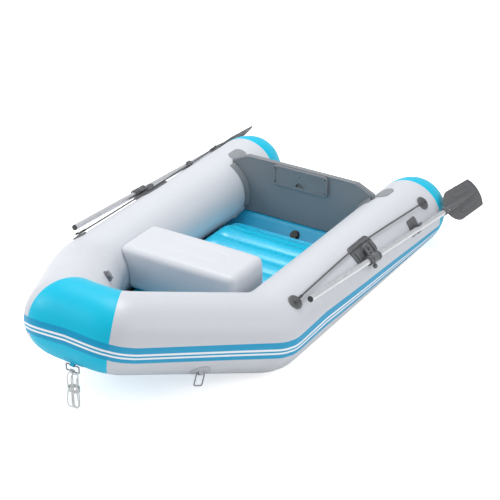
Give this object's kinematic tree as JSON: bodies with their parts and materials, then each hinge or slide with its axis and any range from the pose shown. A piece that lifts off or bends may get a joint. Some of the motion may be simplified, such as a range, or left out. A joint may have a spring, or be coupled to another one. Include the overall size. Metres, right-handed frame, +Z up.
{
  "type": "inflatable dinghy",
  "caption": "Inflatable dinghy with upturned bow, air floor, bench seat, transom with motor pad, rowlocks and stowed sectional oars.",
  "frame": {"origin": "middle of the hull length and beam, on the flat bottom where the boat rests on the ground", "axes": "+Z up, bow towards -Y, port side towards +X"},
  "size_m": [1.4834, 2.5127, 0.53],
  "materials": {
    "black_plastic": "moulded",
    "blade_plastic": "moulded, satin",
    "bottom_blue_skin": "coated fabric, satin",
    "bow_blue_skin": "coated fabric, satin",
    "button_steel": "polished",
    "disc_rubber": "moulded",
    "floor_blue_skin": "coated fabric, glossy ribs",
    "grab_rope": "braided rope",
    "grip_plastic": "moulded",
    "hull_grey_skin": "coated fabric, satin, fine grain",
    "inner_web": "woven web",
    "knob_plastic": "moulded",
    "pad_plastic": "moulded, fine texture",
    "painter_rope": "braided rope",
    "patch_grey": "coated fabric",
    "ring_steel": "satin stainless",
    "rowlock_plastic": "moulded, satin",
    "screw_steel": "passivated",
    "seat_skin": "coated fabric, satin",
    "shaft_aluminium": "anodised",
    "transom_cloth": "plywood board covered in grey coated fabric",
    "valve_plastic": "moulded"
  },
  "bodies": {
    "hull": {"bottom_skin": "bottom_blue_skin", "chamber_baffle": "inner_web", "drain_valve_body": "black_plastic", "floor_mattress": "floor_blue_skin", "floor_webs": "inner_web", "hull_valve_bodies": "valve_plastic", "motor_pad": "pad_plastic", "nose_tube": "bow_blue_skin", "outer_motor_plate": "pad_plastic", "pad_screws": "screw_steel", "port_bow_tube": "hull_grey_skin", "port_grab_line": "grab_rope", "port_line_discs": "disc_rubber", "port_oar_clip": "rowlock_plastic", "port_rowlock_base": "rowlock_plastic", "port_side_tube": "hull_grey_skin", "port_stern_cone": "bow_blue_skin", "ring_patches": "disc_rubber", "starboard_bow_tube": "hull_grey_skin", "starboard_grab_line": "grab_rope", "starboard_line_discs": "disc_rubber", "starboard_oar_clip": "rowlock_plastic", "starboard_rowlock_base": "rowlock_plastic", "starboard_side_tube": "hull_grey_skin", "starboard_stern_cone": "bow_blue_skin", "transom_board": "transom_cloth", "transom_lobes": "patch_grey"},
    "bench_seat": {"seat_cushion": "seat_skin", "seat_web": "inner_web", "seat_valve": "valve_plastic"},
    "port_cap": {"port_valve_cap": "valve_plastic"},
    "starboard_cap": {"starboard_valve_cap": "valve_plastic"},
    "drain_cap": {"drain_valve_cap": "black_plastic"},
    "nose_ring": {"nose_ring": "ring_steel", "painter_hank": "painter_rope"},
    "port_ring": {"port_bow_ring": "ring_steel"},
    "starboard_ring": {"starboard_bow_ring": "ring_steel"},
    "port_rowlock": {"port_rowlock_yoke": "rowlock_plastic", "port_rowlock_pin": "button_steel", "port_oar_collar": "rowlock_plastic"},
    "port_knob": {"port_collar_knob": "knob_plastic"},
    "port_oar": {"port_inner_shaft": "shaft_aluminium", "port_outer_shaft": "shaft_aluminium", "port_grip_cap": "grip_plastic", "port_oar_blade": "blade_plastic"},
    "port_shaft_catch": {"port_shaft_button": "button_steel"},
    "port_blade_catch": {"port_blade_button": "button_steel"},
    "starboard_rowlock": {"starboard_rowlock_yoke": "rowlock_plastic", "starboard_rowlock_pin": "button_steel", "starboard_oar_collar": "rowlock_plastic"},
    "starboard_knob": {"starboard_collar_knob": "knob_plastic"},
    "starboard_oar": {"starboard_inner_shaft": "shaft_aluminium", "starboard_outer_shaft": "shaft_aluminium", "starboard_grip_cap": "grip_plastic", "starboard_oar_blade": "blade_plastic"},
    "starboard_shaft_catch": {"starboard_shaft_button": "button_steel"},
    "starboard_blade_catch": {"starboard_blade_button": "button_steel"}
  },
  "joints": [
    {"name": "seat_lift_out", "type": "slide", "parent": "hull", "child": "bench_seat", "axis": [0, 0, 1], "range_m": [0, 0.25]},
    {"name": "drain_cap_turn", "type": "hinge", "parent": "hull", "child": "drain_cap", "pos_m": [0, 0.706, 0.0407], "axis": [0, -0.7674, 0.6411], "range_deg": [0, 300]},
    {"name": "nose_ring_swing", "type": "hinge", "parent": "hull", "child": "nose_ring", "pos_m": [0, -1.10599, 0.23001], "axis": [1, 0, 0], "range_deg": [-35, 4]},
    {"name": "port_cap_turn", "type": "hinge", "parent": "hull", "child": "port_cap", "pos_m": [0.16923, -0.62868, 0.37328], "axis": [-0.6287, 0.546, 0.5538], "range_deg": [0, 300]},
    {"name": "port_ring_swing", "type": "hinge", "parent": "hull", "child": "port_ring", "pos_m": [0.40518, -0.77073, 0.1462], "axis": [-0.4923, -0.8307, 0.2601], "range_deg": [-50, 80]},
    {"name": "port_oar_swing", "type": "hinge", "parent": "hull", "child": "port_rowlock", "pos_m": [0.58856, 0.3, 0.30376], "axis": [-0.5872, -0.4067, -0.6998], "range_deg": [0, 100]},
    {"name": "port_oar_feather", "type": "hinge", "parent": "port_rowlock", "child": "port_oar", "pos_m": [0.6525, 0.285, 0.286], "axis": [0.0359, 0.9966, -0.0742], "range_deg": [-12, 60]},
    {"name": "port_knob_turn", "type": "hinge", "parent": "port_rowlock", "child": "port_knob", "pos_m": [0.66569, 0.28188, 0.2505], "axis": [0.3472, -0.0821, -0.9342], "range_deg": [-180, 0]},
    {"name": "port_shaft_button_press", "type": "slide", "parent": "port_oar", "child": "port_shaft_catch", "axis": [-0.8484, -0.0089, -0.5293], "range_m": [0, 0.0025], "stiffness_N_per_m": 600, "springref_m": -0.001},
    {"name": "port_blade_button_press", "type": "slide", "parent": "port_oar", "child": "port_blade_catch", "axis": [-0.8484, -0.0089, -0.5293], "range_m": [0, 0.0025], "stiffness_N_per_m": 600, "springref_m": -0.001},
    {"name": "starboard_cap_turn", "type": "hinge", "parent": "hull", "child": "starboard_cap", "pos_m": [-0.16923, -0.62868, 0.37328], "axis": [0.6287, 0.546, 0.5538], "range_deg": [0, 300]},
    {"name": "starboard_ring_swing", "type": "hinge", "parent": "hull", "child": "starboard_ring", "pos_m": [-0.40518, -0.77073, 0.1462], "axis": [-0.4923, 0.8307, -0.2601], "range_deg": [-50, 80]},
    {"name": "starboard_oar_swing", "type": "hinge", "parent": "hull", "child": "starboard_rowlock", "pos_m": [-0.58856, 0.3, 0.30376], "axis": [-0.5872, 0.4067, 0.6998], "range_deg": [0, 100]},
    {"name": "starboard_oar_feather", "type": "hinge", "parent": "starboard_rowlock", "child": "starboard_oar", "pos_m": [-0.6525, 0.285, 0.286], "axis": [0.0359, -0.9966, 0.0742], "range_deg": [-12, 60]},
    {"name": "starboard_knob_turn", "type": "hinge", "parent": "starboard_rowlock", "child": "starboard_knob", "pos_m": [-0.66569, 0.28188, 0.2505], "axis": [-0.3472, -0.0821, -0.9342], "range_deg": [-180, 0]},
    {"name": "starboard_shaft_button_press", "type": "slide", "parent": "starboard_oar", "child": "starboard_shaft_catch", "axis": [0.8484, -0.0089, -0.5293], "range_m": [0, 0.0025], "stiffness_N_per_m": 600, "springref_m": -0.001},
    {"name": "starboard_blade_button_press", "type": "slide", "parent": "starboard_oar", "child": "starboard_blade_catch", "axis": [0.8484, -0.0089, -0.5293], "range_m": [0, 0.0025], "stiffness_N_per_m": 600, "springref_m": -0.001}
  ]
}
